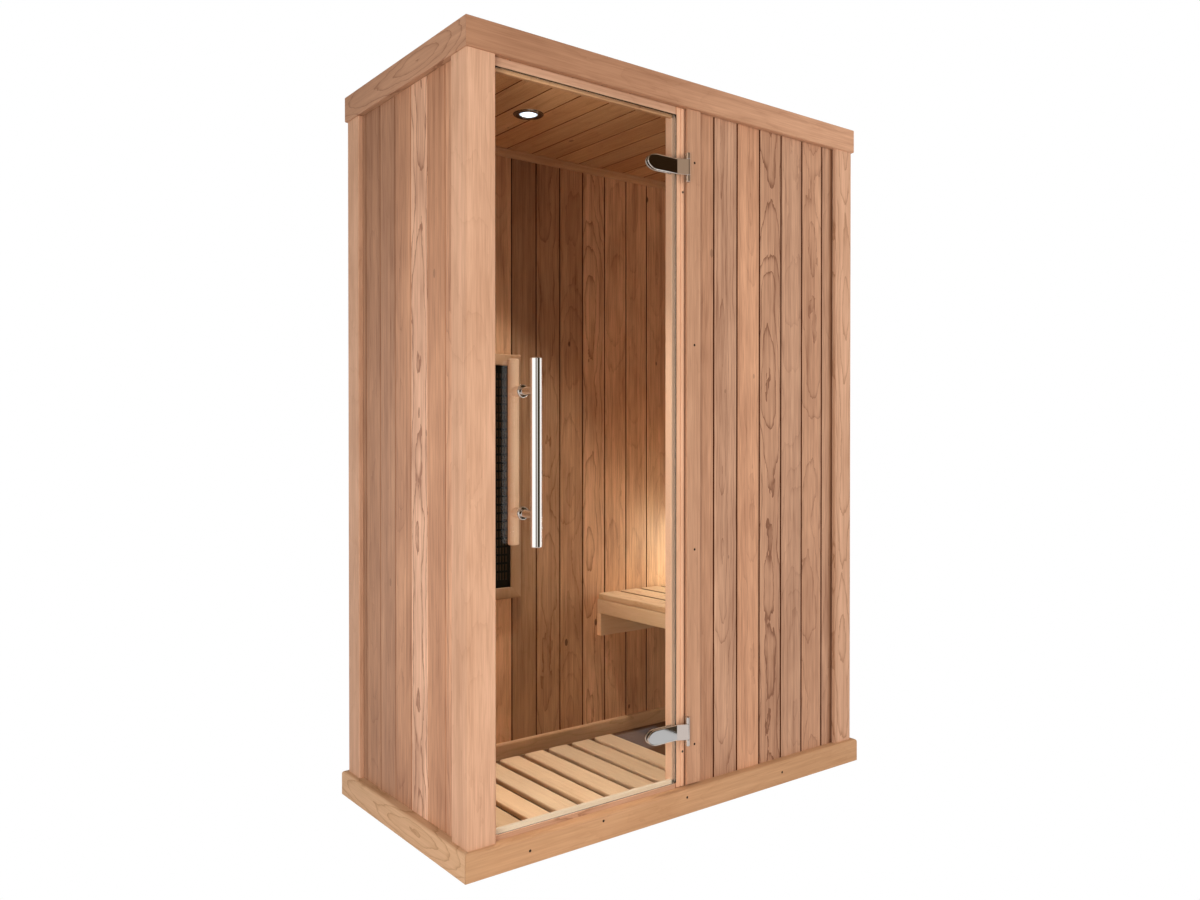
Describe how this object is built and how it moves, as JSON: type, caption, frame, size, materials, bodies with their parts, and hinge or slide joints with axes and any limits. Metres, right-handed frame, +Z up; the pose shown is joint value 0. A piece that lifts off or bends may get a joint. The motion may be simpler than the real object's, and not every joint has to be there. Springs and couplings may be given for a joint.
{
  "type": "infrared sauna cabin",
  "caption": "Boarded cedar infrared sauna cabin with a hinged clear glass door, slatted bench, wall heater, ceiling light and loose duckboard.",
  "frame": {"origin": "on the floor, at the middle of the cabin body", "axes": "+Z up, -Y towards the front with the door, +X to the right of someone facing the front, where the bench is"},
  "size_m": [1.38, 0.749, 1.95],
  "materials": {
    "cedar_frame": "oiled cedar, planed",
    "cedar_boards": "oiled cedar boards, planed",
    "cedar_lining": "bare cedar boards, planed",
    "pale_slats": "pale bare wood, planed",
    "sheet_wood": "plain sheet",
    "core_board": "rough",
    "clear_glass": "polished, clear",
    "chrome": "polished",
    "pin_steel": "ground",
    "black_steel": "matte black",
    "emitter": "dark heating film",
    "dark_chrome": "polished, dark",
    "lamp_lens": "translucent white",
    "control_plastic": "glossy black",
    "grey_metal": "satin grey"
  },
  "bodies": {
    "cabin": {"corner_post_front_left": "cedar_frame", "corner_post_front_right": "cedar_frame", "corner_post_rear_left": "cedar_frame", "corner_post_rear_right": "cedar_frame", "fascia_front": "cedar_frame", "fascia_rear": "cedar_frame", "fascia_left": "cedar_frame", "fascia_right": "cedar_frame", "door_head": "cedar_frame", "hinge_jamb": "cedar_frame", "hinge_casing": "cedar_frame", "ceiling_cove": "cedar_frame", "bench_ledger_front": "cedar_frame", "bench_ledger_rear": "cedar_frame", "bench_apron": "cedar_frame", "heater_frame": "cedar_frame", "cladding_left": "cedar_boards", "cladding_right": "cedar_boards", "cladding_rear": "cedar_boards", "cladding_front": "cedar_boards", "lining_left": "cedar_lining", "lining_right": "cedar_lining", "lining_rear": "cedar_lining", "lining_front": "cedar_lining", "ceiling_boards": "cedar_lining", "plinth_front": "pale_slats", "plinth_rear": "pale_slats", "plinth_left": "pale_slats", "plinth_right": "pale_slats", "threshold": "pale_slats", "skirting": "pale_slats", "bench_slat_1": "pale_slats", "bench_slat_2": "pale_slats", "bench_slat_3": "pale_slats", "bench_slat_4": "pale_slats", "bench_slat_5": "pale_slats", "floor_panel": "sheet_wood", "roof_panel": "sheet_wood", "wall_core_left": "core_board", "wall_core_right": "core_board", "wall_core_rear": "core_board", "hinge_bracket_upper": "chrome", "hinge_bracket_lower": "chrome", "hinge_pin_upper": "pin_steel", "hinge_pin_lower": "pin_steel", "heater_grille": "black_steel", "heater_emitter": "emitter", "downlight_bezel": "dark_chrome", "downlight_lens": "lamp_lens", "corner_lamp": "lamp_lens", "control_panel": "control_plastic", "power_unit": "grey_metal"},
    "door": {"door_glass": "clear_glass", "hinge_leaf_upper": "chrome", "hinge_leaf_lower": "chrome", "hinge_clamp_upper": "chrome", "hinge_clamp_lower": "chrome", "door_handle": "chrome", "inner_grip": "cedar_frame"},
    "duckboard": {"duckboard": "pale_slats"}
  },
  "joints": [
    {"name": "door_swing", "type": "hinge", "parent": "cabin", "child": "door", "pos_m": [-0.00845, -0.33875, 0.968], "axis": [0, 0, 1], "range_deg": [0, 165]},
    {"name": "duckboard_lift", "type": "slide", "parent": "cabin", "child": "duckboard", "axis": [0, 0, 1], "range_m": [0, 0.25]}
  ]
}
